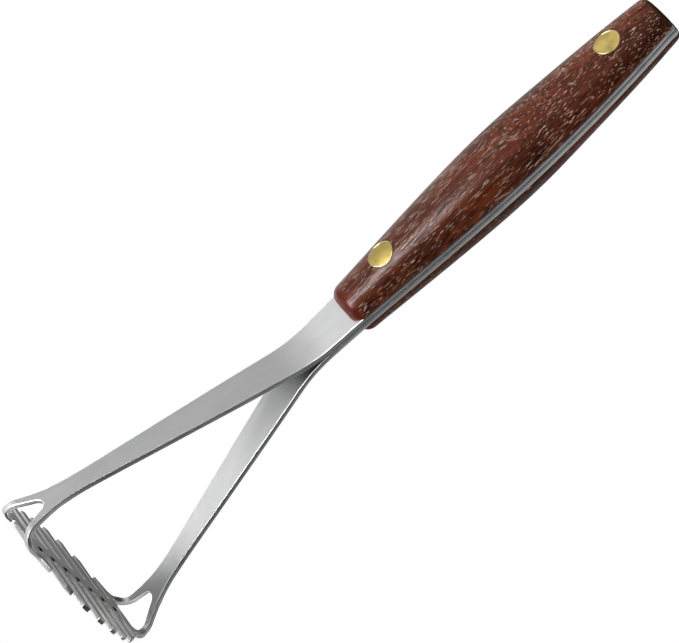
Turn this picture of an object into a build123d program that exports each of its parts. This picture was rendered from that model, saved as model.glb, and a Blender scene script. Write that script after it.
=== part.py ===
"""Potato masher: one folded steel strap, two hardwood handle scales and two brass cutlery rivets.

Frame: +Z runs up the handle, X runs from arm to arm, Y runs across the strap.
The origin is the middle of the plate's underside, so the masher stands upright on z = 0.
All lengths are in millimetres.
"""
import os
from math import atan2, cos, sin, sqrt, tan

from build123d import *

# Whole object
overall_height = 269.7
cut_overrun = 2.0

# Steel sheet, and the hairline where the two tangs lie back to back
sheet = 1.9
tang_seam = 0.1

# Mashing plate: a disc with slots that run in from both long edges to a middle spine
plate_radius = 29.8
last_slot_inset = 8.29
bar_width = 2.77
slots_per_side = 7
spine_width = 5.9
shoulder_radius = 3.0

# Forked leg at each end of the plate. The window's base lies window_base_inset inside the floor
# line of the arm's outer face.
window_base_inset = 8.9
window_base_width = 17.2
window_base_corner = 0.8
window_height = 13.4
window_top_radius = 2.9
leg_spread = 23.2
foot_bend_radius = 5.2

# Arms: their outer faces, carried down, meet the floor foot_run outside the plate's edge.
# The waist has a slight bend and stands out by waist_bow from the line between floor and neck.
foot_run = 7.0
waist_bow = 0.44
waist_height = 26.0
waist_bend_radius = 150.0
neck_height = 107.4
neck_bend_radius = 55.0
waist_width = 8.2
neck_width = 15.7

# Handle: widths of tang and scales, and how far the wood's crown stands off the tang
neck_to_wood = 19.4
wood_to_belly = 77.2
handle_start_width = 18.1
belly_width = 27.4
handle_top_width = 18.0
crown_start = 6.2
crown_belly = 9.95
crown_top = 5.8
tang_corner_radius = 1.8
scale_start_round = 4.4
scale_top_round = 2.6

# Cutlery rivets: a post with a head, and a sleeve with a head that the post is pressed into
rivet_head_diameter = 9.7
rivet_head_depth = 2.4
rivet_proud = 0.15
rivet_start_inset = 21.7
rivet_top_inset = 19.8
sleeve_diameter = 6.0
post_diameter = 3.8
rivet_clearance = 0.05
post_end_gap = 1.0

# Points of the strap's side outline between its named stations.
# First number: share of the way up to the next station. Second: share of the change in width.
foot_to_waist_shares = (
    (0.05, 0.05),
    (0.115, 0.20),
    (0.20, 0.37),
    (0.31, 0.535),
    (0.47, 0.74),
    (0.65, 0.905),
    (0.83, 0.985),
)
waist_to_neck_shares = ((0.15, 0.12), (0.42, 0.42), (0.79, 0.785))
neck_to_start_shares = ((0.30, 0.40), (0.64, 0.70))
start_to_belly_shares = ((0.30, 0.37), (0.62, 0.77))
belly_to_top_shares = ((0.32, 0.10), (0.69, 0.48))

# The same for the crown's height along the handle
crown_rise_shares = ((0.30, 0.45), (0.62, 0.85))
crown_fall_shares = ((0.32, 0.40), (0.69, 0.70))

# Where the handle's sections are taken, as shares of its length
section_shares = (0.0, 0.08, 0.16, 0.26, 0.36, 0.46, 0.56, 0.66, 0.76, 0.86, 0.94, 1.0)

tang_half = tang_seam / 2 + sheet
arm_reach = plate_radius + foot_run
window_base_reach = arm_reach - window_base_inset
slot_pitch = (plate_radius - last_slot_inset) / ((slots_per_side - 1) / 2)
slot_width = slot_pitch - bar_width
handle_start = neck_height + neck_to_wood
belly_height = handle_start + wood_to_belly
waist_reach = arm_reach - (arm_reach - tang_half) * waist_height / neck_height + waist_bow
arm_lean = atan2(waist_reach - tang_half, neck_height - waist_height)
shin_lean = atan2(arm_reach - waist_reach, waist_height)
handle_length = overall_height - handle_start
rivet_heights = {
    "lower": handle_start + rivet_start_inset,
    "upper": overall_height - rivet_top_inset,
}


def between(low, high, shares):
    """Points from the station `low` to the station `high`, both (height, size), without `high`."""
    points = [low]
    for rise, change in shares:
        points.append((low[0] + rise * (high[0] - low[0]), low[1] + change * (high[1] - low[1])))
    return points


def width_stations():
    """Half widths of the strap and handle from the foot to the top, as (height, half width)."""
    foot = (0, leg_spread / 2)
    waist = (waist_height, waist_width / 2)
    neck = (neck_height, neck_width / 2)
    start = (handle_start, handle_start_width / 2)
    belly = (belly_height, belly_width / 2)
    top = (overall_height, handle_top_width / 2)
    points = between(foot, waist, foot_to_waist_shares)
    points += between(waist, neck, waist_to_neck_shares)
    points += between(neck, start, neck_to_start_shares)
    points += between(start, belly, start_to_belly_shares)
    points += between(belly, top, belly_to_top_shares)
    return points + [top]


def crown_stations():
    """Height of the wood's crown above the tang, as (height along the handle, crown)."""
    start = (handle_start, crown_start)
    belly = (belly_height, crown_belly)
    top = (overall_height, crown_top)
    points = between(start, belly, crown_rise_shares)
    points += between(belly, top, crown_fall_shares)
    return points + [top]


width_curve = Spline(*[(size, height) for height, size in width_stations()])
crown_curve = Spline(*[(size, height) for height, size in crown_stations()])


def size_at(curve, height):
    """The size that a curve of (size, height) has at one height."""
    level = Axis((0, height, 0), (1, 0, 0))
    return curve.find_intersection_points(level)[0].X


def strap_profile():
    """The folded strip seen along Y: tang, arm, bend, plate, bend, arm, tang."""
    outer = [
        (tang_half, overall_height),
        (tang_half, neck_height),
        (waist_reach, waist_height),
        (arm_reach, 0),
    ]
    half_turn = (arm_lean + shin_lean) / 2
    waist_step = sheet / cos((arm_lean - shin_lean) / 2)
    inner = [
        (tang_seam / 2, overall_height),
        (tang_seam / 2, neck_height - sheet * tan(arm_lean / 2)),
        (waist_reach - waist_step * cos(half_turn), waist_height - waist_step * sin(half_turn)),
        (arm_reach - sheet * (tan(shin_lean) + 1 / cos(shin_lean)), sheet),
    ]
    outer += [(-x, z) for x, z in reversed(outer)]
    inner += [(-x, z) for x, z in reversed(inner)]
    outer_radii = [neck_bend_radius, waist_bend_radius, foot_bend_radius]
    inner_radii = [neck_bend_radius + sheet, waist_bend_radius - sheet, foot_bend_radius - sheet]
    outer_radii += reversed(outer_radii)
    inner_radii += reversed(inner_radii)
    outer_path = FilletPolyline(*outer, radius=outer_radii)
    inner_path = FilletPolyline(*inner, radius=inner_radii)
    ends = [Line(outer[0], inner[0]), Line(outer[-1], inner[-1])]
    return make_face([*outer_path.edges(), *inner_path.edges(), *ends])


def side_outline():
    """The strap's outline seen along X, with the tang's two top corners rounded."""
    half_top = handle_top_width / 2
    half_foot = leg_spread / 2
    across = [
        Line((-half_foot, 0), (half_foot, 0)),
        Line((-half_top, overall_height), (half_top, overall_height)),
    ]
    face = make_face([width_curve, mirror(width_curve, Plane.YZ), *across])
    top_corners = face.vertices().sort_by(Axis.Y)[-2:]
    return fillet(top_corners, tang_corner_radius)


def plate_outline():
    """The plate seen from above: a disc that flows through a hollow shoulder into each leg pair."""
    half_leg = leg_spread / 2
    centre_x = sqrt((plate_radius + shoulder_radius) ** 2 - (half_leg + shoulder_radius) ** 2)
    centre_y = half_leg + shoulder_radius
    touch = plate_radius / (plate_radius + shoulder_radius)
    strip = Rectangle(2 * (arm_reach + cut_overrun), 2 * half_leg)
    web = Sketch()
    for side_x in (-1, 1):
        for side_y in (-1, 1):
            corner = Polyline(
                (0, 0),
                (side_x * centre_x * touch, side_y * centre_y * touch),
                (side_x * centre_x, side_y * centre_y),
                (side_x * centre_x, 0),
                close=True,
            )
            hollow = Pos(side_x * centre_x, side_y * centre_y) * Circle(shoulder_radius)
            web += make_face(corner) - hollow
    return Circle(plate_radius) + strip + web


def slot_cutter():
    """All the plate's slots: each runs from its round inner end out past the plate's edge."""
    cutter = Sketch()
    slot_length = plate_radius + cut_overrun - spine_width / 2
    radius = slot_width / 2
    first = -(slots_per_side - 1) / 2 * slot_pitch
    for index in range(slots_per_side):
        x = first + index * slot_pitch
        for side in (-1, 1):
            inner = side * (spine_width / 2 + radius)
            middle = side * (spine_width / 2 + (slot_length + radius) / 2)
            cutter += Pos(x, middle) * Rectangle(slot_width, slot_length - radius)
            cutter += Pos(x, inner) * Circle(radius)
    return extrude(cutter, sheet + cut_overrun, both=True)


def window_cutter():
    """The rounded triangular window between the two legs at each end of the plate."""
    half_base = window_base_width / 2
    triangle = make_face(Polyline((-half_base, 0), (half_base, 0), (0, window_peak()), close=True))
    peak = triangle.vertices().sort_by(Axis.Y)[-1]
    triangle = fillet(peak, window_top_radius)
    skirt = Pos(0, -cut_overrun / 2) * Rectangle(window_base_width, cut_overrun)
    tall = extrude(Plane.YZ * (triangle + skirt), arm_reach + cut_overrun, both=True)
    keep_reach = arm_reach + cut_overrun - window_base_reach
    middle = window_base_reach + keep_reach / 2
    field = Rectangle(keep_reach, window_base_width)
    inner_corners = field.vertices().sort_by(Axis.X)[:2]
    field = Pos(middle, 0) * fillet(inner_corners, window_base_corner)
    right = extrude(field, window_height + cut_overrun, both=True)
    return tall & (right + mirror(right, Plane.YZ))


def window_peak():
    """Height of the sharp triangle whose rounded top reaches window_height."""
    half_base = window_base_width / 2
    centre = window_height - window_top_radius
    factor = 1 - (window_top_radius / half_base) ** 2
    root = sqrt(centre ** 2 - factor * (centre ** 2 - window_top_radius ** 2))
    return (centre + root) / factor


def make_strap():
    """Head, arms and tangs in one strip of sheet."""
    span = 2 * (plate_radius + cut_overrun)
    strip = extrude(Plane.XZ * strap_profile(), span / 2, both=True)
    reach = arm_reach + cut_overrun
    upright = extrude(Plane.YZ * side_outline(), reach, both=True)
    flat = extrude(plate_outline(), sheet)
    strip = strip & (upright + flat)
    return strip - slot_cutter() - window_cutter()


def handle_section(height, extra):
    """One cross-section of the whole handle: half an ellipse of wood on each side of the tangs."""
    half_width = size_at(width_curve, height) + extra
    crown = size_at(crown_curve, height) + extra
    left = EllipticalCenterArc((-tang_half, 0), crown, half_width, 90, arc_size=180)
    right = EllipticalCenterArc((tang_half, 0), crown, half_width, -90, arc_size=180)
    low = Line((-tang_half, -half_width), (tang_half, -half_width))
    high = Line((tang_half, half_width), (-tang_half, half_width))
    return Pos(0, 0, height) * make_face([left, low, right, high])


def handle_body(extra=0):
    """The whole handle as one solid, `extra` larger all round."""
    sections = [handle_section(handle_start + share * handle_length, extra) for share in section_shares]
    return loft(sections)


def half_space(side):
    """A block that holds everything outside the tang on one side."""
    depth = crown_belly + rivet_proud + cut_overrun
    block = Box(depth, belly_width + 2 * cut_overrun, handle_length + 2 * cut_overrun)
    return Pos(side * (tang_half + depth / 2), 0, handle_start + handle_length / 2) * block


def along_x(diameter, start, end, height):
    """A round bar along X between two places."""
    bar = Cylinder(diameter / 2, abs(end - start), rotation=(0, 90, 0))
    return Pos((start + end) / 2, 0, height) * bar


def head_seat(height):
    """How far from the middle the flat seat under a rivet's head lies."""
    return tang_half + size_at(crown_curve, height) - rivet_head_depth


def rivet_holes(height, seats=True):
    """Hole for the sleeve, with a flat-bottomed seat for each head."""
    seat = head_seat(height)
    hole = sleeve_diameter + 2 * rivet_clearance
    reach = tang_half + crown_belly + cut_overrun
    cutter = along_x(hole, -reach, reach, height)
    if seats:
        head = rivet_head_diameter + 2 * rivet_clearance
        cutter += along_x(head, -reach, -seat, height) + along_x(head, seat, reach, height)
    return cutter


def make_scale(body, side):
    """One wooden scale: the handle's body outside the tang, its two ends rounded over."""
    scale = body & half_space(side)
    start_rim = scale.edges().filter_by(GeomType.LINE, reverse=True).sort_by(Axis.Z)[0]
    scale = fillet(start_rim, scale_start_round)
    top_rim = scale.edges().filter_by(GeomType.LINE, reverse=True).sort_by(Axis.Z)[-1]
    scale = fillet(top_rim, scale_top_round)
    for height in rivet_heights.values():
        scale -= rivet_holes(height)
    return scale


def make_post(proud_body, height):
    """The rivet half with a solid post, pushed in from the front."""
    seat = head_seat(height)
    reach = tang_half + crown_belly + cut_overrun
    head = along_x(rivet_head_diameter, -reach, -seat, height) & proud_body
    return head + along_x(post_diameter, -seat - rivet_clearance, seat - post_end_gap, height)


def make_sleeve(proud_body, height):
    """The rivet half with a hollow sleeve, pushed in from the rear."""
    seat = head_seat(height)
    reach = tang_half + crown_belly + cut_overrun
    head = along_x(rivet_head_diameter, seat, reach, height) & proud_body
    sleeve = along_x(sleeve_diameter, -seat + rivet_clearance, seat + rivet_clearance, height)
    bore = along_x(post_diameter + 2 * rivet_clearance, -seat, seat, height)
    return head + (sleeve - bore)


strap = make_strap()
for height in rivet_heights.values():
    strap -= rivet_holes(height, seats=False)

body = handle_body()
proud_body = handle_body(rivet_proud)
nodes = {
    "head_and_arms_strap": strap,
    "front_scale": make_scale(body, -1),
    "rear_scale": make_scale(body, 1),
}
for place, height in rivet_heights.items():
    nodes[place + "_rivet_post"] = make_post(proud_body, height)
    nodes[place + "_rivet_sleeve"] = make_sleeve(proud_body, height)

os.makedirs("parts", exist_ok=True)
for name, shape in nodes.items():
    export_step(shape, "parts/" + name + ".step")
    box = shape.bounding_box()
    print(name, "solids", len(shape.solids()), "volume", round(shape.volume), "size", box.size)
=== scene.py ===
# %% [markdown]
# Potato masher, dressed for a studio picture.
#
# The real masher is one long strip of stainless steel, stamped, slotted and folded, with two
# hardwood scales riveted to its ends. All its shapes come from the CAD model, so this lesson is
# about what CAD leaves out: broken edges, brushed steel, open-pored wood, ground brass and light.
# The CAD model is loaded first.

# %% Load the CAD model
from math import acos, atan2, ceil, copysign, cos, degrees, radians, sin, tan

import bmesh
import bpy
import numpy as np
from mathutils import Matrix, Vector


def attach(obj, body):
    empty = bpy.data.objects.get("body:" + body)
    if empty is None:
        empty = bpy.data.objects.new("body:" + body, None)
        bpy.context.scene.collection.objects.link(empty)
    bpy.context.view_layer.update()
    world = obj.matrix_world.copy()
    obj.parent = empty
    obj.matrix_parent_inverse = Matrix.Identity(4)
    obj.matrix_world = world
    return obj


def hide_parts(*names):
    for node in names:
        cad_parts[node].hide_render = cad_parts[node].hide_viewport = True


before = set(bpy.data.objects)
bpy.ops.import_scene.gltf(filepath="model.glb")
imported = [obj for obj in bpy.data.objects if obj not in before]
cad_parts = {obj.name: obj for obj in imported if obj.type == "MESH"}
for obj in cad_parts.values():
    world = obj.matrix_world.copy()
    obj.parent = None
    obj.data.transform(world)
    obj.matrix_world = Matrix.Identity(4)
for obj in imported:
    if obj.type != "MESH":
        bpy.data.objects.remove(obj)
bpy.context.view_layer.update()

MM = 0.001                                # Blender's unit is the metre

print("CAD nodes:", sorted(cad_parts))

# %% [markdown]
# The camera. The picture shows the masher from its front left corner, almost level with the table,
# with the camera rolled so that the handle runs up to the right. A long lens keeps its sides
# nearly parallel. The camera could be placed by eye, but here its direction, distance and lens
# were worked out from the outline of the arms and handle, so they are written as plain numbers:
# where it looks from, how far away it stands, how far it is rolled, and how far to the right of
# the picture's centre and above it the middle of the masher lies.

# %% Camera
PICTURE_WIDTH = 679                       # pixels
SENSOR_WIDTH = 36                         # in millimetres, as lenses are
VIEW_AZIMUTH = radians(223.09)
VIEW_ELEVATION = radians(2.46)
VIEW_ROLL = radians(46.59)
VIEW_DISTANCE = 1190.45 * MM
MIDDLE = Vector((0, 0, 0.130))
MIDDLE_RIGHT = 4.97 * MM
MIDDLE_UP = 4.57 * MM
FOCAL_PIXELS = 3604.9


def toward(azimuth, elevation):
    """A unit vector away from the masher. Azimuth 0 is +Y, and a quarter turn from it is +X."""
    level = cos(elevation)
    return Vector((sin(azimuth) * level, cos(azimuth) * level, sin(elevation)))


toward_camera = toward(VIEW_AZIMUTH, VIEW_ELEVATION)
level_right = (-toward_camera).cross(Vector((0, 0, 1))).normalized()
level_up = level_right.cross(-toward_camera)
rolled_right = level_right * cos(VIEW_ROLL) + level_up * sin(VIEW_ROLL)
rolled_up = level_up * cos(VIEW_ROLL) - level_right * sin(VIEW_ROLL)
camera_place = MIDDLE + toward_camera * VIEW_DISTANCE
camera_place -= rolled_right * MIDDLE_RIGHT + rolled_up * MIDDLE_UP

camera_data = bpy.data.cameras.new("picture_camera")
camera_data.sensor_width = SENSOR_WIDTH
camera_data.sensor_fit = "HORIZONTAL"
camera_data.lens = FOCAL_PIXELS / PICTURE_WIDTH * SENSOR_WIDTH
camera = bpy.data.objects.new("picture_camera", camera_data)
axes = Matrix((rolled_right, rolled_up, toward_camera)).transposed().to_4x4()
camera.matrix_world = Matrix.Translation(camera_place) @ axes
bpy.context.scene.collection.objects.link(camera)
bpy.context.scene.camera = camera
print("lens", round(camera_data.lens, 1), "mm at", tuple(round(v, 3) for v in camera_place))

# %% [markdown]
# Wires. A node material is a sum of small nodes, and it is hard to read when each one is linked by
# hand. A Wire stands for one output of a node, and sums on it add the Math nodes, so that a finish
# reads like a formula. The operators have their reflected forms too, because 1 - mask asks the
# number first, and the number knows nothing of wires.

# %% Wires
class Wire:
    """One output socket. Sums on it add Math nodes to the graph it belongs to."""

    def __init__(self, graph, socket):
        self.graph = graph
        self.socket = socket

    def math(self, operation, *values):
        return self.graph.node("Math", {"operation": operation}, dict(enumerate(values)))

    def __add__(self, other):
        return self.math("ADD", self, other)

    def __sub__(self, other):
        return self.math("SUBTRACT", self, other)

    def __rsub__(self, other):
        return self.math("SUBTRACT", other, self)

    def __mul__(self, other):
        return self.math("MULTIPLY", self, other)

    def __truediv__(self, other):
        return self.math("DIVIDE", self, other)

    def __rtruediv__(self, other):
        return self.math("DIVIDE", other, self)

    def __pow__(self, other):
        return self.math("POWER", self, other)

    def __abs__(self):
        return self.math("ABSOLUTE", self)

    __radd__ = __add__
    __rmul__ = __mul__

    def larger(self, other):
        return self.math("MAXIMUM", self, other)

    def rise(self, start, end):
        """0 below start and 1 above end, with a soft step between. It falls if end is lower."""
        low, high = min(start, end), max(start, end)
        settings = {"interpolation_type": "SMOOTHSTEP"}
        values = {"Value": self, "From Min": low, "From Max": high}
        step = self.graph.node("MapRange", settings, values)
        return step if start < end else 1 - step


# %% [markdown]
# Graphs. A material, the world and a Geometry Nodes tree are all node trees, so one class can fill
# any of them. It has a single call that adds a node: the node's type, then its settings, which
# have to come first because they decide which sockets there are, then a number or a wire for each
# socket.

# %% Graphs
class Graph:
    """A node tree that is filled by calls."""

    def __init__(self, tree):
        self.nodes = tree.nodes
        self.links = tree.links

    def fill(self, socket, value):
        if isinstance(value, Wire):
            self.links.new(value.socket, socket)
        else:
            socket.default_value = value

    def node(self, kind, settings=None, values=None, output=0):
        """A node of one type: its settings first, then numbers or wires for its sockets."""
        node = self.nodes.new(kind if "Node" in kind else "ShaderNode" + kind)
        for name, value in (settings or {}).items():
            setattr(node, name, value)
        for key, value in (values or {}).items():
            self.fill(node.inputs[key], value)
        return Wire(self, node.outputs[output])


# %% [markdown]
# Finishes. A Finish is the graph of one material. It knows where a point lies on the masher, how
# to spread noise there, and how to mix two colours, which must not go through Math nodes because
# those turn them grey. Patterns could be laid out with a UV map, but Object coordinates need none,
# and they measure each scratch and pore in metres on every piece alike.

# %% Finishes
class Finish(Graph):
    """A node material for one kind of surface."""

    def __init__(self, name):
        self.material = bpy.data.materials.new(name)
        self.material.use_nodes = True
        super().__init__(self.material.node_tree)
        self.shader = self.nodes["Principled BSDF"]

    def place(self, names):
        """Object coordinates, as one wire for each axis that is named."""
        place = self.node("TexCoord", output="Object")
        return [self.node("SeparateXYZ", None, {"Vector": place}, axis) for axis in names]

    def stretched(self, scale, turn=(0, 0, 0)):
        """Object coordinates, turned and then multiplied by one number for each axis."""
        place = self.node("TexCoord", output="Object")
        if any(turn):
            values = {"Vector": place, "Rotation": turn}
            place = self.node("Mapping", {"vector_type": "POINT"}, values)
        return self.node("VectorMath", {"operation": "MULTIPLY"}, {0: place, 1: scale})

    def from_middle(self):
        """The level distance from the object's own middle."""
        level = self.stretched((1, 1, 0))
        return self.node("VectorMath", {"operation": "LENGTH"}, {0: level}, "Value")

    def noise(self, scale, detail=2.0, roughness=0.5, turn=(0, 0, 0)):
        """Noise from 0 to 1 with its own number of waves per metre along each axis."""
        place = self.stretched(scale, turn)
        values = {"Vector": place, "Scale": 1.0, "Detail": detail, "Roughness": roughness}
        return self.node("TexNoise", {"noise_dimensions": "3D"}, values, "Fac")

    def mix(self, share, low, high):
        """A colour between two colours."""
        settings = {"data_type": "RGBA", "blend_type": "MIX"}
        return self.node("Mix", settings, {"Factor": share, 6: low, 7: high}, 2)

    def bump(self, height, strength, distance):
        values = {"Height": height, "Strength": strength, "Distance": distance}
        return self.node("Bump", None, values, "Normal")

    def shade(self, **sockets):
        """Fills the shader: base_color=... is its Base Color socket, and so on."""
        for name, value in sockets.items():
            label = " ".join(word.capitalize() for word in name.split("_"))
            self.fill(self.shader.inputs[label.replace("Ior", "IOR")], value)
        print(self.material.name, "has", len(self.nodes), "nodes")
        return self.material

    def glow(self, level):
        """Makes it a plain white light of that level, which needs no other shader."""
        light = self.node("Emission", None, {"Color": level})
        self.links.new(light.socket, self.nodes["Material Output"].inputs["Surface"])
        self.nodes.remove(self.shader)
        print(self.material.name, "glows, with", len(self.nodes), "nodes")
        return self.material


# %% [markdown]
# Colours. A maker picks a colour as it looks on screen, with numbers from 0 to 255, while nodes
# add up light and want linear numbers. Blender's own colour picker converts between them, and so
# does this formula.

# %% Colours
def tint(red, green, blue):
    """A colour given as it looks on screen, from 0 to 255, in the linear form that nodes use."""
    shares = [value / 255 for value in (red, green, blue)]
    linear = [s / 12.92 if s <= 0.04045 else ((s + 0.055) / 1.055) ** 2.4 for s in shares]
    return (*linear, 1.0)


print("middle grey is", round(tint(128, 128, 128)[0], 3), "of white light")

# %% [markdown]
# Steel faces. The strip was ground along its length before it was stamped, so fine lines run along
# the arms and the plate alike, and they vary quickly only across the strip, along Y. One noise
# that is very fine along Y and slow along X and Z therefore suits every bend without a UV map.
# The lines change the roughness and the height a little, and the colour hardly at all.
#
# Shade falls between the arms where they run together, so their inner faces get painted shade
# just below the neck. An arm leans in a straight line from the waist to the neck. With that lean
# taken off, X is 1.95 mm on its outer face and close to 0 on its inner one, and a step tells the
# two apart.

# %% Ground steel
WAIST = Vector((28.803, 26.0)) * MM
NECK = Vector((1.95, 107.4)) * MM
ARM_LEAN = (WAIST.x - NECK.x) / (NECK.y - WAIST.y)


def steel_face():
    steel = Finish("ground_steel")
    lines = steel.noise((55, 5200, 55), detail=3.0, roughness=0.6)
    cloud = steel.noise((90, 140, 60), detail=3.0)
    bright = lines * 0.5 + cloud * 0.5
    colour = steel.mix(bright.rise(0.3, 0.7), tint(208, 209, 210), tint(220, 220, 219))
    x, z = steel.place("XZ")
    upright_x = abs(x) + (z - NECK.y) * ARM_LEAN
    # Painted shade between the arms, on their inner faces just below the neck.
    wedge_shade = upright_x.rise(1.6 * MM, 1.0 * MM) * z.rise(90 * MM, 105 * MM)
    return steel.shade(
        base_color=steel.mix(wedge_shade * 0.85, colour, tint(96, 97, 99)),
        metallic=1.0,
        roughness=0.24 + lines * 0.10 + cloud * 0.05,
        normal=steel.bump(lines, 0.2, 0.01 * MM),
    )


ground_steel = steel_face()

# %% [markdown]
# Steel cut edges. A stamped edge isn't ground: the punch leaves a burnished band and a rougher
# torn band, darker than the faces, with short marks across the thickness. Those marks vary
# quickly along the edge, so this noise is fine along X and Z. The broken corners between face and
# cut are tumbled smooth and shine most, so they get a third, cleaner finish. The slots' walls get
# painted light, paler than the arms' cut edges, and their blind ends get painted shade, nearly
# black, for the shade deep in the slots.
#
# In the handle both ends of the strap lie face to face. The rear layer is a paler grey than the
# front one, with a dark line where they meet, and a painted highlight, a bright cream line, runs
# along the rear one's outer corner. Those bands run up the handle, so they are made from X, and Z
# lets them in above the neck. Painting them by hand would not follow a longer handle.

# %% Cut and tumbled steel
def steel_cut(name, dark, pale):
    steel = Finish(name)
    marks = steel.noise((2600, 900, 2600))
    cloud = steel.noise((160, 160, 160))
    x, z = steel.place("XZ")
    in_handle = z.rise(110 * MM, 126 * MM)
    rear_layer = x.rise(0.1 * MM, 0.4 * MM) * in_handle
    meeting = x.rise(-0.5 * MM, -0.2 * MM) * x.rise(0.3 * MM, 0.0) * in_handle
    # A painted highlight along the rear layer's outer corner.
    corner_highlight = x.rise(1.2 * MM, 1.5 * MM) * in_handle
    colour = steel.mix(cloud.rise(0.3, 0.7), dark, pale)
    colour = steel.mix(rear_layer * 0.55, colour, tint(214, 215, 214))
    colour = steel.mix(meeting * 0.8, colour, tint(84, 88, 92))
    return steel.shade(
        base_color=steel.mix(corner_highlight, colour, tint(255, 250, 238)),
        metallic=1.0,
        roughness=0.3 + marks * 0.14,
        normal=steel.bump(marks, 0.25, 0.02 * MM),
    )


def steel_corner():
    steel = Finish("tumbled_steel")
    cloud = steel.noise((300, 300, 300))
    colour = steel.mix(cloud, tint(224, 224, 222), tint(236, 236, 234))
    return steel.shade(base_color=colour, metallic=1.0, roughness=0.34 + cloud * 0.06)


stamped_steel = steel_cut("stamped_steel", tint(118, 120, 124), tint(148, 150, 154))
burnished_steel = steel_cut("burnished_steel", tint(206, 208, 210), tint(232, 233, 234))
# Painted light: the slots' walls are a paler copy of the cut edges' finish.
slot_steel = steel_cut("slot_steel", tint(176, 177, 178), tint(200, 200, 199))
# Painted shade: the slots' blind ends are nearly black.
blind_steel = steel_cut("blind_steel", tint(34, 35, 37), tint(52, 53, 55))
tumbled_steel = steel_corner()

# %% [markdown]
# Wood. The scales are a dark red-brown rosewood. Three things make it: slow streaks of red and
# near-black that run along the grain, fine fibres, and the cut vessels, which show as short pale
# dashes because polish fills them. A vessel is a long thin tube. Here the dashes are the highest
# peaks of a fine noise that is stretched along Z, so each has its own length and they stay apart.
# Voronoi cells could make them too, but their dashes stood in rings. The vessels come in drifts,
# so a slow noise lifts the fine one here and there.
#
# The rounded lower end is sanded across the grain and takes a smooth red, and the sawn top stays
# dark. Both heights are measured from the CAD scale. The rear scale gets painted shade: it is
# darker and greyer, with fewer pale vessels, and its thinner coat shines less.

# %% Rosewood
scale_heights = [vertex.co.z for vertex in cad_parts["front_scale"].data.vertices]
WOOD_BOTTOM, WOOD_TOP = min(scale_heights), max(scale_heights)
GRAIN_LEAN = (radians(1.5), radians(2.0), 0.0)
print("wood from", round(WOOD_BOTTOM / MM, 1), "to", round(WOOD_TOP / MM, 1), "mm")


def wood_face():
    wood = Finish("rosewood")
    x, z = wood.place("XZ")
    low_end = z.rise(WOOD_BOTTOM + 5.7 * MM, WOOD_BOTTOM + 2.2 * MM)
    sawn_end = z.rise(WOOD_TOP - 2.7 * MM, WOOD_TOP - 0.7 * MM)
    rear = x.rise(1.5 * MM, 2.5 * MM)

    zone = wood.noise((60, 60, 9), turn=GRAIN_LEAN)
    streak = wood.noise((620, 620, 11), detail=3.0, roughness=0.6, turn=GRAIN_LEAN)
    dark_line = wood.noise((2500, 2500, 55), turn=GRAIN_LEAN).rise(0.46, 0.60)
    reddish = zone.rise(0.38, 0.62) * 0.6 + z.rise(235 * MM, 140 * MM) * 0.4
    colour = wood.mix(reddish, tint(82, 34, 15), tint(158, 74, 40))
    colour = wood.mix(streak.rise(0.50, 0.66) * 0.6, colour, tint(56, 22, 10))
    colour = wood.mix(dark_line * 0.85, colour, tint(18, 6, 3))
    colour = wood.mix(low_end * 0.8, colour, tint(128, 42, 30))
    colour = wood.mix(sawn_end * 0.85, colour, tint(34, 14, 8))
    # Painted shade: the rear scale is mixed towards a dark grey-brown and shows fewer vessels.
    colour = wood.mix(rear * 0.45, colour, tint(50, 41, 38))

    drift = wood.noise((130, 130, 34), turn=GRAIN_LEAN).rise(0.40, 0.58)
    pore = wood.noise((4900, 4900, 230), detail=1.0, turn=GRAIN_LEAN)
    vessel = (pore + drift * 0.06).rise(0.69, 0.74)
    vessel = vessel * (1 - low_end) * (1 - sawn_end) * (1 - rear * 0.6)
    return wood.shade(
        base_color=wood.mix(vessel, colour, tint(255, 228, 206)),
        roughness=0.26 + vessel * 0.25 + dark_line * 0.2,
        specular_ior_level=0.12,
        coat_weight=(0.34 - dark_line * 0.26) * (1 - rear * 0.85),
        coat_roughness=0.15,
        normal=wood.bump(dark_line * 0.5 - vessel, 0.3, 0.06 * MM),
    )


rosewood = wood_face()

# %% [markdown]
# Brass. The rivet heads were ground flush with the wood and buffed, so they are satin with fine
# scratches that all run one way. They have random patches of tarnish, a painted dark reflection
# turns one side of each head olive, and painted shade darkens the lower pair. The thin rim round a
# head is burnished by the grinding and stays bright.

# %% Ground brass
def brass_face():
    brass = Finish("ground_brass")
    scratch = brass.noise((500, 6000, 700), turn=(radians(25), 0.0, 0.0))
    cloud = brass.noise((220, 220, 220))
    y, z = brass.place("YZ")
    # Painted shade darkens the lower pair, and a painted dark reflection turns one side olive.
    lower_pair_shade = z.rise(220 * MM, 180 * MM)
    tarnish_and_shade = y.rise(1.0 * MM, -3.6 * MM) * 0.5 + cloud.rise(0.42, 0.62) * 0.3 + lower_pair_shade * 0.25
    colour = brass.mix(tarnish_and_shade, tint(218, 192, 116), tint(132, 120, 60))
    return brass.shade(
        base_color=brass.mix(lower_pair_shade * 0.45, colour, tint(134, 118, 66)),
        metallic=1.0,
        roughness=0.40 + scratch * 0.14,
        normal=brass.bump(scratch, 0.3, 0.02 * MM),
    )


def brass_rim():
    brass = Finish("burnished_brass")
    cloud = brass.noise((400, 400, 400))
    colour = brass.mix(cloud, tint(246, 228, 172), tint(252, 240, 200))
    return brass.shade(base_color=colour, metallic=1.0, roughness=0.16 + cloud * 0.1)


ground_brass = brass_face()
burnished_brass = brass_rim()

# %% [markdown]
# The strap's bends. The whole head and both arms are one strip, folded from a flat blank, so the
# piece is made here in the same order: draw the blank, round its corners, then fold it. Rounding
# the corners of the folded CAD solid with a Bevel modifier was the other way, but its short edges
# leave spikes at the bends. The fold line below is the side view of the strip's outer face, from
# the middle of the plate up to the top of one tang, with the same sizes as the CAD model.

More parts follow.
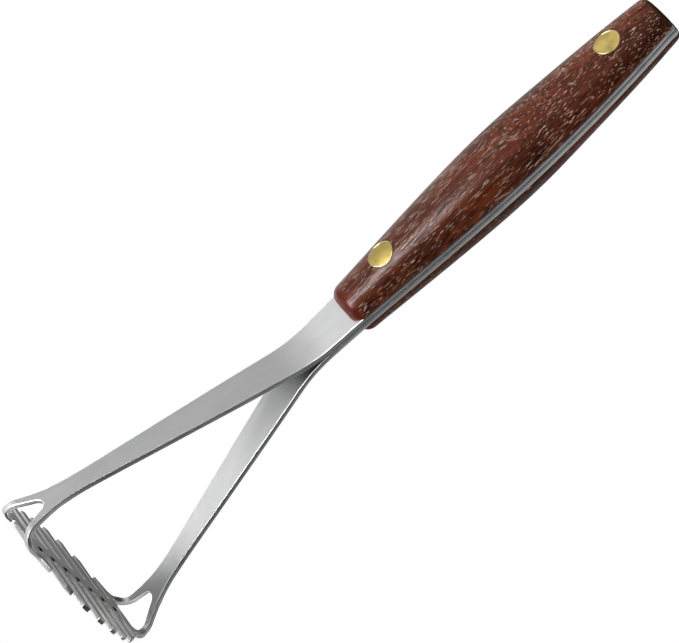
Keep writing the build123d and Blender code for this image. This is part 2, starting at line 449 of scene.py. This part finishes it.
# %% Fold line
SHEET = 1.9 * MM
FOOT_REACH = 36.8 * MM
TOP = Vector((1.95, 269.7)) * MM
FOOT_BEND, WAIST_BEND, NECK_BEND = 5.2 * MM, 150.0 * MM, 55.0 * MM
BEND_STEP = 0.4 * MM
FEWEST_STEPS, MOST_STEPS = 8, 26
BEND_LEAD = 0.1 * MM


def bent_corner(before, corner, after, radius):
    """Points round one bend, with one more point just before it and one just after."""
    arrive, leave = (corner - before).normalized(), (after - corner).normalized()
    turn = atan2(arrive.cross(leave), arrive.dot(leave))
    side = copysign(1, turn)
    start = corner - arrive * radius * tan(abs(turn) / 2)
    centre = start + Vector((-arrive.y, arrive.x)) * radius * side
    count = min(MOST_STEPS, max(FEWEST_STEPS, ceil(abs(turn) * radius / BEND_STEP)))
    points = [start - arrive * BEND_LEAD]
    for index in range(count + 1):
        points.append(centre + Matrix.Rotation(turn * index / count, 2) @ (start - centre))
    points.append(points[-1] + leave * BEND_LEAD)
    return points


corners = [Vector((0, 0)), Vector((FOOT_REACH, 0)), WAIST, NECK, TOP]
half_line = [corners[0]]
for index, radius in enumerate((FOOT_BEND, WAIST_BEND, NECK_BEND)):
    half_line += bent_corner(*corners[index:index + 3], radius)
half_line.append(corners[-1])

distances = [0.0]
for start, end in zip(half_line, half_line[1:]):
    distances.append(distances[-1] + (end - start).length)
HALF_LENGTH = distances[-1]
print("blank:", round(2 * HALF_LENGTH / MM, 1), "mm long, cut from one strip")

# %% [markdown]
# Measuring along the strip. Once it is flat, a place on the strip is a distance from the middle of
# the plate, while the CAD model knows heights. Three small rulers go from one to the other. The
# fold line's own points are few, so places between them are read off the straight runs.

# %% Rulers
def on_line(distance):
    """The place on the fold line at one distance from the middle of the plate."""
    return Vector([np.interp(distance, distances, [p[axis] for p in half_line]) for axis in (0, 1)])


def inside_sheet(distance):
    """The same, half the sheet's thickness in from the outer face."""
    run = (on_line(distance + BEND_LEAD) - on_line(distance - BEND_LEAD)).normalized()
    return on_line(distance) + Vector((-run.y, run.x)) * SHEET / 2


def distance_to(height):
    """How far along the strip a height is reached."""
    return float(np.interp(height, [p.y for p in half_line], distances))


print("the neck is", round(distance_to(NECK.y) / MM, 1), "mm from the middle of the plate")

# %% [markdown]
# The blank's outline. One quarter is enough, because the blank is the same on both sides and at
# both ends. It starts in the middle slot, runs in and out of the slots round the disc, turns
# through the hollow shoulder into a leg, and follows the arm and the tang to the top. The arm's
# width changes all the way up, so it is measured on the CAD solid with a ray across the strip.

# %% Outline of the blank
PLATE_RADIUS = 29.8 * MM
SLOT_PITCH = 7.17 * MM
SLOT_RADIUS = 2.2 * MM
SLOTS_PER_QUARTER = 3
SPINE_HALF = 2.95 * MM
SHOULDER = Vector((29.371, 14.6)) * MM
SHOULDER_RADIUS = 3.0 * MM
LEG_HALF = 11.6 * MM
LEG_BLEND_HEIGHT = 3.0 * MM
LEG_BLEND_POWER = 1.5
ARM_START, ARM_STEP = 7 * MM, 2 * MM      # the height above which the arm has a point each step
TANG_CORNER = 1.8 * MM
RAY_START = 50 * MM                       # well past the strap's side
cad_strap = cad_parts["head_and_arms_strap"]


def arc(centre, radius, start, end, count):
    """Points on an arc, from one angle in degrees to another."""
    angles = [radians(start + (end - start) * index / count) for index in range(count + 1)]
    return [Vector((centre[0] + radius * cos(a), centre[1] + radius * sin(a))) for a in angles]


def half_width(distance):
    """Half the strip's width at one distance along it, measured on the CAD solid."""
    x, z = inside_sheet(distance)
    found, spot, _, _ = cad_strap.ray_cast((x, RAY_START, z), (0, -1, 0))
    return spot.y if found else 0.0


def leg_half(distance):
    """Half the width across the legs, which leaves the plate at full width."""
    height = on_line(distance).y
    if height > LEG_BLEND_HEIGHT:
        return half_width(distance)
    drop = LEG_HALF - half_width(distance_to(LEG_BLEND_HEIGHT))
    return LEG_HALF - drop * (height / LEG_BLEND_HEIGHT) ** LEG_BLEND_POWER


def rim_angle(x):
    """The angle, in degrees, at which the plate's rim has that x."""
    return degrees(acos(x / PLATE_RADIUS))


def quarter_outline():
    slot_y = SPINE_HALF + SLOT_RADIUS
    points = arc((0, slot_y), SLOT_RADIUS, -90, 0, 8)
    for slot in range(1, SLOTS_PER_QUARTER + 1):
        x = slot * SLOT_PITCH
        bar_start, bar_end = rim_angle(x - SLOT_PITCH + SLOT_RADIUS), rim_angle(x - SLOT_RADIUS)
        points += arc((0, 0), PLATE_RADIUS, bar_start, bar_end, 3)
        points += arc((x, slot_y), SLOT_RADIUS, 180, 360, 16)
    last = rim_angle(SLOTS_PER_QUARTER * SLOT_PITCH + SLOT_RADIUS)
    lean = degrees(atan2(SHOULDER.y, SHOULDER.x))
    points += arc((0, 0), PLATE_RADIUS, last, lean, 4)
    points += arc(SHOULDER, SHOULDER_RADIUS, 180 + lean, 270, 8)[1:]

    corner_start = HALF_LENGTH - TANG_CORNER
    places = [d for d in distances if points[-1].x + BEND_LEAD < d < corner_start]
    places += list(np.arange(distance_to(ARM_START), corner_start - BEND_LEAD, ARM_STEP))
    for distance in sorted(places):
        if distance - points[-1].x > BEND_LEAD / 2:
            points.append(Vector((distance, leg_half(distance))))
    points += arc((corner_start, points[-1].y - TANG_CORNER), TANG_CORNER, 90, 0, 8)[1:]
    return points


def whole_outline(quarter):
    """The quarter, mirrored to the other end and then to the other side, once round clockwise."""
    side = [Vector((-p.x, p.y)) for p in reversed(quarter[1:])] + quarter
    return side + [Vector((p.x, -p.y)) for p in reversed(side)]


outline = whole_outline(quarter_outline())
print("outline:", len(outline), "points")

# %% [markdown]
# The openings in the blank. The window between each pair of legs is a triangle with a rounded top
# and a straight base on the plate. The tang has two holes for the rivets. Openings run the other
# way round from the outline, so that the steel always lies on the right of the line.

# %% Windows and rivet holes
WINDOW_BASE = 27.9 * MM
WINDOW_HALF = 8.6 * MM
WINDOW_PEAK = 16.893 * MM
WINDOW_CENTRE = 10.5 * MM
WINDOW_RADIUS = 2.9 * MM
WINDOW_CORNER = 0.8 * MM
BASE_CLEAR = WINDOW_CORNER * 1.2          # kept free of points above the base's corners
TOP_CLEAR = 0.3 * MM                      # and below the rounded top
RIVET_HEIGHTS = {"lower": 148.5 * MM, "upper": 249.9 * MM}
HOLE_RADIUS = 3.05 * MM


def window_opening():
    touch = degrees(atan2(WINDOW_PEAK, WINDOW_HALF))
    touch_height = WINDOW_CENTRE + WINDOW_RADIUS * cos(radians(touch))
    side = [Vector((WINDOW_BASE, WINDOW_HALF))]
    for distance in distances:
        height = on_line(distance).y
        if distance > WINDOW_BASE + BASE_CLEAR and height < touch_height - TOP_CLEAR:
            side.append(Vector((distance, WINDOW_HALF * (1 - height / WINDOW_PEAK))))
    top = arc((WINDOW_CENTRE, 0), WINDOW_RADIUS, touch, 0, 7)
    side += [Vector((distance_to(p.x), p.y)) for p in top]
    return side[::-1] + [Vector((p.x, -p.y)) for p in side[:-1]]


def flipped(loop):
    """The same opening at the other end of the blank, still running the same way round."""
    return [Vector((-p.x, p.y)) for p in reversed(loop)]


def rounded_corners(loop, radius, sharp=radians(40), steps=5):
    """A closed line whose sharp corners are small arcs."""
    result = []
    for index, corner in enumerate(loop):
        before, after = loop[index - 1], loop[(index + 1) % len(loop)]
        arrive, leave = (corner - before).normalized(), (after - corner).normalized()
        turn = atan2(arrive.cross(leave), arrive.dot(leave))
        if abs(turn) < sharp:
            result.append(corner)
            continue
        start = corner - arrive * radius * tan(abs(turn) / 2)
        centre = start + Vector((-arrive.y, arrive.x)) * radius * copysign(1, turn)
        for step in range(steps + 1):
            result.append(centre + Matrix.Rotation(turn * step / steps, 2) @ (start - centre))
    return result


window = rounded_corners(window_opening(), WINDOW_CORNER)
openings = [window, flipped(window)]
for height in RIVET_HEIGHTS.values():
    hole = arc((distance_to(height), 0), HOLE_RADIUS, 0, 360, 32)[:-1]
    openings += [hole, flipped(hole)]
print("openings:", len(openings))

# %% [markdown]
# The blank's walls. Each line becomes a wall of the sheet's thickness whose two corners are rolled
# over by 0.4 mm, as tumbling leaves them. The tangs' inner corners are smaller, because they line
# the seam in the handle. Each polygon remembers its zone, because the finish differs: the slots'
# walls get painted light, paler than the other cut edges, and their blind ends painted shade, the
# arms' sheared edges are rough and dark with a paler burnished band half way down, and the corners
# shine most. A Bevel modifier could roll the corners, but it wouldn't know one zone from another.

# %% Walls of the blank
CORNER = 0.42 * MM
CORNER_STEPS = 3
SEAM_CORNER = 0.35                        # a share of the whole corner
SEAM_FADE = (-12 * MM, 6 * MM)            # where it shrinks to that, from the neck
BAND = 0.40 * MM
BLIND_END = SPINE_HALF + SLOT_RADIUS * 0.25
FACE_ZONE, SLOT_ZONE, SHORN_ZONE, CORNER_ZONE, BAND_ZONE, BLIND_ZONE = range(6)


def seam_size(distance):
    """How large the inner corner is, as a share: small on the tangs, where it lines the seam."""
    fade = [distance_to(NECK.y) + step for step in SEAM_FADE]
    return float(np.interp(abs(distance), fade, (1.0, SEAM_CORNER)))


def inset(loop, depth):
    """The closed line, moved into the steel, which lies on its right."""
    moved = []
    for index, point in enumerate(loop):
        before, after = loop[index - 1], loop[(index + 1) % len(loop)]
        sides = [Vector((-run.y, run.x)).normalized() for run in (point - before, after - point)]
        moved.append(point - (sides[0] + sides[1]) * depth / (1 + sides[0].dot(sides[1])))
    return moved


def wall_profile():
    """Rings of a wall: whether it is near the inner face, how far in, and how far from the face."""
    turns = [radians(90) * step / CORNER_STEPS for step in range(CORNER_STEPS + 1)]
    round_off = [(CORNER * (1 - sin(t)), CORNER * (1 - cos(t))) for t in turns]
    upper = [(True, *step) for step in round_off + [(0.0, (SHEET - BAND) / 2)]]
    return upper + [(False, *step) for _, *step in reversed(upper)]


def wall_zone(level, start, end):
    """The zone of one polygon, which lies that many rings down between two points of a line."""
    in_slot = abs(start.x) < WINDOW_BASE
    below_corner = level - CORNER_STEPS
    # The slots' blind ends get the painted shade.
    if in_slot and level > 0 and max(abs(start.y), abs(end.y)) < BLIND_END:
        return BLIND_ZONE
    if below_corner not in (0, 1, 2):
        return CORNER_ZONE
    if in_slot:
        return SLOT_ZONE
    return BAND_ZONE if below_corner == 1 else SHORN_ZONE


def raise_wall(work, zone, loop):
    """Rings of faces along one closed line. Gives the edges of its top and bottom rings."""
    rings = []
    for inner, depth, drop in wall_profile():
        ring = []
        for start, deep in zip(loop, inset(loop, depth)):
            size = seam_size(start.x) if inner and drop <= CORNER else 1.0
            height = SHEET - drop * size if inner else drop
            ring.append(work.verts.new((*start.lerp(deep, size), height)))
        rings.append(ring)
    following = [(i, (i + 1) % len(loop)) for i in range(len(loop))]
    for level, (upper, lower) in enumerate(zip(rings, rings[1:])):
        for i, j in following:
            face = work.faces.new((upper[i], upper[j], lower[j], lower[i]))
            face[zone] = wall_zone(level, loop[i], loop[j])
    return [[work.edges.get((ring[i], ring[j])) for i, j in following]
            for ring in (rings[0], rings[-1])]


print("a wall has", len(wall_profile()), "rings")

# %% [markdown]
# Filling and cutting the blank. The ground faces are filled between the walls. Then the blank is
# cut across at every station of the bends, so that it can fold there, and the slivers between two
# cuts of one bend are joined again. The faces are split into triangles while they still lie flat,
# because a bent polygon with many corners could be split in ways that leave a crease.

# %% Raise the blank
WELD = 0.001 * MM
EDGE_SOFTENING = 0.3 * MM
LONGEST_BEND_STEP = 1.5 * MM


def cut_at_bends(work, zone):
    """Cuts the blank at each station, then joins the slivers between two cuts of one bend."""
    for station in distances[1:-1]:
        for place in (-station, station):
            parts = work.verts[:] + work.edges[:] + work.faces[:]
            bmesh.ops.bisect_plane(
                work, geom=parts, dist=WELD, plane_co=(place, 0, 0), plane_no=(1, 0, 0))
    slivers = []
    for edge in work.edges:
        ends = [abs(vert.co.x) for vert in edge.verts]
        gap = np.searchsorted(distances, sum(ends) / 2)
        step = distances[min(gap, len(distances) - 1)] - distances[gap - 1]
        on_face = all(face[zone] == FACE_ZONE for face in edge.link_faces)
        if step < LONGEST_BEND_STEP and on_face and abs(ends[0] - ends[1]) > WELD * 5:
            slivers.append(edge)
    bmesh.ops.dissolve_edges(work, edges=slivers, use_verts=False)
    flat = [face for face in work.faces if face[zone] == FACE_ZONE and len(face.verts) > 3]
    bmesh.ops.triangulate(work, faces=flat, quad_method="BEAUTY", ngon_method="BEAUTY")


def raise_blank(name):
    work = bmesh.new()
    zone = work.faces.layers.int.new("zone")
    rims = [[], []]
    for loop in [rounded_corners(outline, EDGE_SOFTENING)] + openings:
        for rim, edges in zip(rims, raise_wall(work, zone, loop)):
            rim += edges
    for rim, up in zip(rims, (1, -1)):
        bmesh.ops.triangle_fill(work, use_beauty=True, edges=rim, normal=(0, 0, up))
    cut_at_bends(work, zone)
    bmesh.ops.recalc_face_normals(work, faces=work.faces)
    for face in work.faces:
        face.smooth = True
    mesh = bpy.data.meshes.new(name)
    work.to_mesh(mesh)
    work.free()
    blank = bpy.data.objects.new(name, mesh)
    bpy.context.scene.collection.objects.link(blank)
    print(name, "has", len(mesh.polygons), "faces")
    return blank


strap = raise_blank("steel_strap")

# %% [markdown]
# Geometry Nodes from a script. A tree is a small machine with named dials. It is built once, its
# dials are set on a modifier, and what comes out is kept as a plain mesh. Setting the dials needs
# each socket's identifier, because a modifier doesn't know the sockets by their names. A tree ends
# by making its copies real and giving them their finishes.

# %% Trees
def new_tree(name, sockets):
    """An empty tree, its graph, and a wire for each of its named inputs."""
    tree = bpy.data.node_groups.new(name, "GeometryNodeTree")
    for label, kind in sockets:
        tree.interface.new_socket(label, in_out="INPUT", socket_type="NodeSocket" + kind)
    tree.interface.new_socket("Geometry", in_out="OUTPUT", socket_type="NodeSocketGeometry")
    graph = Graph(tree)
    group = tree.nodes.new("NodeGroupInput")
    inputs = {label: Wire(graph, group.outputs[label]) for label, _ in sockets}
    return tree, graph, inputs


def finish_tree(tree, graph, shape, first, *others):
    """Ends the tree: all of the shape gets the first finish, and zones 1, 2 ... get the others."""
    shape = graph.node("GeometryNodeRealizeInstances", None, {"Geometry": shape})
    shape = graph.node("GeometryNodeSetMaterial", None, {"Geometry": shape, "Material": first})
    for zone, finish in enumerate(others, 1):
        number = graph.node("GeometryNodeInputNamedAttribute", {"data_type": "INT"}, {"Name": "zone"})
        same = graph.node("FunctionNodeCompare", {"data_type": "INT", "operation": "EQUAL"},
                          {"A": number, "B": zone})
        shape = graph.node("GeometryNodeSetMaterial", None,
                           {"Geometry": shape, "Selection": same, "Material": finish})
    graph.links.new(shape.socket, tree.nodes.new("NodeGroupOutput").inputs["Geometry"])
    return tree


def settle(piece, tree, values, even_normals=False):
    """Runs a tree on a piece with its inputs set, and keeps the result as a plain mesh."""
    modifier = piece.modifiers.new(tree.name, "NODES")
    modifier.node_group = tree
    for item in tree.interface.items_tree:
        if item.in_out == "INPUT" and item.name in values:
            modifier[item.identifier] = values[item.name]
    if even_normals:
        piece.modifiers.new("even_normals", "WEIGHTED_NORMAL")
    bpy.context.view_layer.update()
    result = bpy.data.meshes.new_from_object(
        piece.evaluated_get(bpy.context.evaluated_depsgraph_get()))
    result.name = piece.name
    piece.modifiers.clear()
    piece.data = result
    print(piece.name, "has", len(result.polygons), "faces")
    return piece


# %% [markdown]
# Folding the blank. The fold line, as a curve, is a ruler: a point that lies so far along the
# blank goes to the place that far along the curve, and its height in the sheet goes along the
# curve's inner side. That is one Set Position node in a Geometry Nodes tree, which ends with the
# zones' finishes in the zones' order. A Curve modifier could fold it too, but it thins the sheet
# in bends.

# %% Fold it with Geometry Nodes
def fold_tree():
    sockets = (("Geometry", "Geometry"), ("Fold line", "Object"), ("Half length", "Float"))
    tree, graph, inputs = new_tree("fold_strip", sockets)
    place = graph.node("GeometryNodeInputPosition")
    along, across, height = (
        graph.node("SeparateXYZ", None, {"Vector": place}, axis) for axis in "XYZ")
    line = graph.node("GeometryNodeObjectInfo", None, {"Object": inputs["Fold line"]}, "Geometry")
    values = {"Curves": line, "Length": along + inputs["Half length"]}
    settings = {"mode": "LENGTH", "use_all_curves": True}
    spot = graph.node("GeometryNodeSampleCurve", settings, values, "Position")
    run = graph.node("GeometryNodeSampleCurve", settings, values, "Tangent")
    inward = graph.node("VectorMath", {"operation": "CROSS_PRODUCT"}, {0: run, 1: (0, 1, 0)})
    inward = graph.node("VectorMath", {"operation": "NORMALIZE"}, {0: inward})
    raised = graph.node("VectorMath", {"operation": "SCALE"}, {0: inward, "Scale": height})
    sideways = graph.node("CombineXYZ", None, {"Y": across})
    spot = graph.node("VectorMath", {"operation": "ADD"}, {0: spot, 1: raised})
    spot = graph.node("VectorMath", {"operation": "ADD"}, {0: spot, 1: sideways})
    folded = graph.node("GeometryNodeSetPosition", None,
                        {"Geometry": inputs["Geometry"], "Position": spot})
    return finish_tree(tree, graph, folded, ground_steel, slot_steel, stamped_steel,
                       tumbled_steel, burnished_steel, blind_steel)


def fold_line_object():
    """The whole fold line as a curve, from the top of the left tang to the top of the right."""
    places = [(-p.x, 0, p.y) for p in reversed(half_line[1:])] + [(p.x, 0, p.y) for p in half_line]
    data = bpy.data.curves.new("fold_line", "CURVE")
    data.dimensions = "3D"
    spline = data.splines.new("POLY")
    spline.points.add(len(places) - 1)
    for point, place in zip(spline.points, places):
        point.co = (*place, 1)
    line = bpy.data.objects.new("fold_line", data)
    bpy.context.scene.collection.objects.link(line)
    return line


fold_line = fold_line_object()
settle(strap, fold_tree(), {"Fold line": fold_line, "Half length": HALF_LENGTH}, even_normals=True)
bpy.data.objects.remove(fold_line)
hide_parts("head_and_arms_strap")
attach(strap, "root")

# %% [markdown]
# The scales and rivets. Their CAD shapes are right as they are, so each node stays and only gets
# its material. Copies could be made and smoothed, but nothing on them is sharp enough to need it.

# %% Dress the wood and brass
for name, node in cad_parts.items():
    if node is cad_strap:
        continue
    material = rosewood if name.endswith("_scale") else ground_brass
    for slot in node.material_slots:
        slot.material = material
    print(name, "is", material.name)

# %% [markdown]
# The rivets' rims. When a rivet head is ground down with the wood, its edge burnishes to a thin
# bright ring. The ring follows the head's curved face, so it could be bent by hand for each head,
# but a tree does all four: it draws a circle beside the head, drops each point on the head's face
# with a ray, and runs a fine bead round it.

# %% Burnished rims
RIM_RADIUS = 4.70 * MM
BEAD_RADIUS = 0.15 * MM
BEAD_SINK = 0.05 * MM
CIRCLE_REACH = 30 * MM                    # how far out the circle is drawn, clear of the handle


def rim_tree():
    sockets = (
        ("Head", "Object"), ("Side", "Float"), ("Height", "Float"),
        ("Rim radius", "Float"), ("Bead radius", "Float"), ("Sink", "Float"),
    )
    tree, graph, inputs = new_tree("burnished_rim", sockets)
    side = inputs["Side"]
    ring = graph.node("GeometryNodeCurvePrimitiveCircle", None,
                      {"Resolution": 72, "Radius": inputs["Rim radius"]})
    place = graph.node("GeometryNodeInputPosition")
    x, y = (graph.node("SeparateXYZ", None, {"Vector": place}, axis) for axis in "XY")
    values = {"X": side * CIRCLE_REACH, "Y": x, "Z": y + inputs["Height"]}
    start = graph.node("CombineXYZ", None, values)
    head = graph.node("GeometryNodeObjectInfo", None, {"Object": inputs["Head"]}, "Geometry")
    inward = graph.node("CombineXYZ", None, {"X": side * -1})
    values = {"Target Geometry": head, "Source Position": start, "Ray Direction": inward}
    spot = graph.node("GeometryNodeRaycast", None, values, "Hit Position")
    sunk = graph.node("CombineXYZ", None, {"X": side * inputs["Sink"] * -1})
    spot = graph.node("VectorMath", {"operation": "ADD"}, {0: spot, 1: sunk})
    ring = graph.node("GeometryNodeSetPosition", None, {"Geometry": ring, "Position": spot})
    bead = graph.node("GeometryNodeCurvePrimitiveCircle", None,
                      {"Resolution": 8, "Radius": inputs["Bead radius"]})
    tube = graph.node("GeometryNodeCurveToMesh", None, {"Curve": ring, "Profile Curve": bead})
    tube = graph.node("GeometryNodeSetShadeSmooth", None, {"Geometry": tube})
    return finish_tree(tree, graph, tube, burnished_brass)


rims = rim_tree()
for place, height in RIVET_HEIGHTS.items():
    for half, side in (("post", -1.0), ("sleeve", 1.0)):
        name = place + "_" + half + "_rim"
        rim = bpy.data.objects.new(name, bpy.data.meshes.new(name))
        bpy.context.scene.collection.objects.link(rim)
        settle(rim, rims, {
            "Head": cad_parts[place + "_rivet_" + half], "Side": side, "Height": height,
            "Rim radius": RIM_RADIUS, "Bead radius": BEAD_RADIUS, "Sink": BEAD_SINK,
        })
        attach(rim, "root")

# %% [markdown]
# The studio. The masher stands on a white table in front of nothing, so the camera sees plain
# white past it, and so do glass and polished metal. All other light from the world is soft and
# dim. A bright world would light the masher too, and wash out its colours.

# %% World
SOFT_LIGHT = 0.36
WHITE = (1, 1, 1, 1)


def straight_rays(graph):
    """1 where the camera, a mirror or glass looks straight at a thing, and 0 for soft light."""
    camera_ray, glossy_ray, glass_ray = (graph.node("LightPath", output=label) for label in (
        "Is Camera Ray", "Is Glossy Ray", "Is Transmission Ray"))
    return camera_ray.larger(glossy_ray).larger(glass_ray)


def light_world():
    world = bpy.data.worlds.new("white_room")
    bpy.context.scene.world = world
    world.use_nodes = True
    sky = Graph(world.node_tree)
    background = sky.nodes["Background"]
    sky.fill(background.inputs["Color"], WHITE)
    level = SOFT_LIGHT + straight_rays(sky) * (1 - SOFT_LIGHT)
    sky.fill(background.inputs["Strength"], level)
    print("world:", len(sky.nodes), "nodes")


light_world()
bpy.context.scene.view_settings.view_transform = "Standard"

# %% [markdown]
# The table. It is white where it is lit, keeps the masher's soft shadow close by, and glows up to
# the background's plain white further out, so that no edge shows. A larger table with a curved
# sweep behind it is the usual way, but its grey would show past the masher. Reflections don't see
# it, because the steel shows cards instead, which come last.

# %% Table
TABLE_RADIUS = 120 * MM
TABLE_DROP = 0.2 * MM


def table_finish():
    table = Finish("white_table")
    outward = table.from_middle().rise(TABLE_RADIUS * 0.45, TABLE_RADIUS * 0.95)
    return table.shade(
        base_color=(0.85, 0.85, 0.85, 1),
        roughness=0.9,
        specular_ior_level=0.0,
        emission_color=straight_rays(table) * (0.55 + outward * 0.45),
        emission_strength=1.0,
    )


bpy.ops.mesh.primitive_circle_add(vertices=96, radius=TABLE_RADIUS, fill_type="NGON")
table_top = bpy.context.object
table_top.name = "table"
table_top.location.z = -TABLE_DROP
table_top.data.materials.append(table_finish())
table_top.visible_glossy = False

# %% [markdown]
# The lamps. Three soft panels light the wood and the table at a plain level: a key light from the
# upper left, a weaker fill from the right of the camera, and one overhead. Steel and brass would
# show them as hard squares, so they are hidden from reflections, which come from the shell below.

# %% Lamps
def area_lamp(name, azimuth, elevation, distance, side, watts):
    """A square panel that faces the middle of the masher."""
    data = bpy.data.lights.new(name, "AREA")
    data.shape = "SQUARE"
    data.size = side
    data.energy = watts
    lamp = bpy.data.objects.new(name, data)
    outward = toward(radians(azimuth), radians(elevation))
    lamp.location = MIDDLE + outward * distance
    lamp.rotation_euler = (-outward).to_track_quat("-Z", "Y").to_euler()
    lamp.visible_camera = False
    lamp.visible_glossy = False
    bpy.context.scene.collection.objects.link(lamp)
    print(name, "lamp:", watts, "W at", tuple(round(v, 2) for v in lamp.location))


area_lamp("key", azimuth=300, elevation=35, distance=1.4, side=0.8, watts=10.0)
area_lamp("fill", azimuth=200, elevation=20, distance=1.5, side=1.0, watts=0.8)
area_lamp("top", azimuth=240, elevation=85, distance=1.2, side=0.9, watts=3.0)

# %% [markdown]
# What the steel reflects. Steel shows its surroundings rather than itself, and what it shows here
# is a wide white sweep on the left, a dim doorway and a side wall on the right, and one tall
# narrow panel that draws the long pale streak down the wood. A large shell round the masher
# carries that light for reflections alone, so it can be set apart from the lamps. Its brightness
# changes only with the direction and the height. Real panels could stand there instead, but their
# edges would cut hard lines across the polished strip.

# %% Reflection shell
SHELL_RADIUS = 2.0


def seen_in_reflections_only(thing):
    for kind in ("camera", "diffuse", "shadow", "transmission", "volume_scatter"):
        setattr(thing, "visible_" + kind, False)


def shell_finish():
    """How bright the room looks in each direction, as a smooth pattern on the shell."""
    room = Finish("room_reflections")
    place = room.node("TexCoord", output="Object")
    unit = room.node("VectorMath", {"operation": "NORMALIZE"}, {0: place}, "Vector")
    x, y, z = (room.node("SeparateXYZ", None, {0: unit}, axis) for axis in "XYZ")
    level = (x * x + y * y + 0.0001) ** 0.5

    def faces(azimuth):
        """1 in that direction round the masher, 0 square to it and -1 behind."""
        return (x * sin(radians(azimuth)) + y * cos(radians(azimuth))) / level

    def within(azimuth, inner, outer):
        """1 up to inner degrees from a direction, 0 past outer degrees from it."""
        return faces(azimuth).rise(cos(radians(outer)), cos(radians(inner)))

    sweep = within(324, 42, 98) * (z.rise(0.62, 0.25) * 0.62 + z.rise(0.05, -0.042) * 0.38)
    doorway = within(128, 10, 50) * z.rise(-0.50, 0.20)
    side_wall = within(84, 12, 30) * z.rise(0.40, 0.10) * z.rise(-0.50, -0.15)
    strip = within(271, 9, 19) * z.rise(-0.04, -0.12) * z.rise(-0.80, -0.62)
    return room.glow(0.04 + sweep * 0.96 + doorway * 0.46 + side_wall * 0.45 + strip * 14.0)


bpy.ops.mesh.primitive_uv_sphere_add(
    segments=48, ring_count=24, radius=SHELL_RADIUS, location=MIDDLE)
shell = bpy.context.object
shell.name = "room_shell"
shell.data.materials.append(shell_finish())
seen_in_reflections_only(shell)

# %% [markdown]
# Reflection cards. The far arm's inner face looks down at the floor. Low down it shows the shade
# under the plate, half way up white paper, and near the neck something darker. Three cards that
# only reflections see lie there, just under the table: a small white one under the near foot, a
# shaded one under the plate, and a wide grey one further to the left. Each one's brightness changes
# gently with the distance from its own middle, so that no edge shows in the steel.

# %% Reflection cards
def card_finish(name, near, far, near_level, far_level):
    """A glow that goes from one level to the other between two distances from the middle."""
    card = Finish(name)
    return card.glow(near_level + card.from_middle().rise(near, far) * (far_level - near_level))


def reflection_card(name, corners, finish, place):
    """A flat card, seen in reflections and nowhere else."""
    mesh = bpy.data.meshes.new(name)
    mesh.from_pydata(corners, [], [range(len(corners))])
    mesh.materials.append(finish)
    card = bpy.data.objects.new(name, mesh)
    card.location = place
    bpy.context.scene.collection.objects.link(card)
    seen_in_reflections_only(card)


def rim_points(azimuths, radius):
    """Points at one distance from a card's middle, in those directions round it."""
    return [toward(radians(azimuth), 0.0) * radius for azimuth in azimuths]


white = card_finish("white_card", near=10 * MM, far=20 * MM, near_level=0.80, far_level=0.86)
shade = card_finish("plate_shade", near=4 * MM, far=36 * MM, near_level=0.27, far_level=0.95)
grey = card_finish("grey_card", near=130 * MM, far=200 * MM, near_level=0.96, far_level=0.14)
ALL_ROUND = range(360, 0, -15)
TO_THE_LEFT = (356, 340, 324, 308, 292)
grey_corners = rim_points(TO_THE_LEFT, 130 * MM) + rim_points(TO_THE_LEFT[::-1], 500 * MM)
reflection_card("white_under_foot", rim_points(ALL_ROUND, 20 * MM), white,
                place=(-33 * MM, -13 * MM, -0.5 * MM))
reflection_card("shade_under_plate", rim_points(ALL_ROUND, 42 * MM), shade,
                place=(14 * MM, 20 * MM, -0.4 * MM))
reflection_card("grey_card", grey_corners, grey, place=(0.0, 0.0, -0.6 * MM))
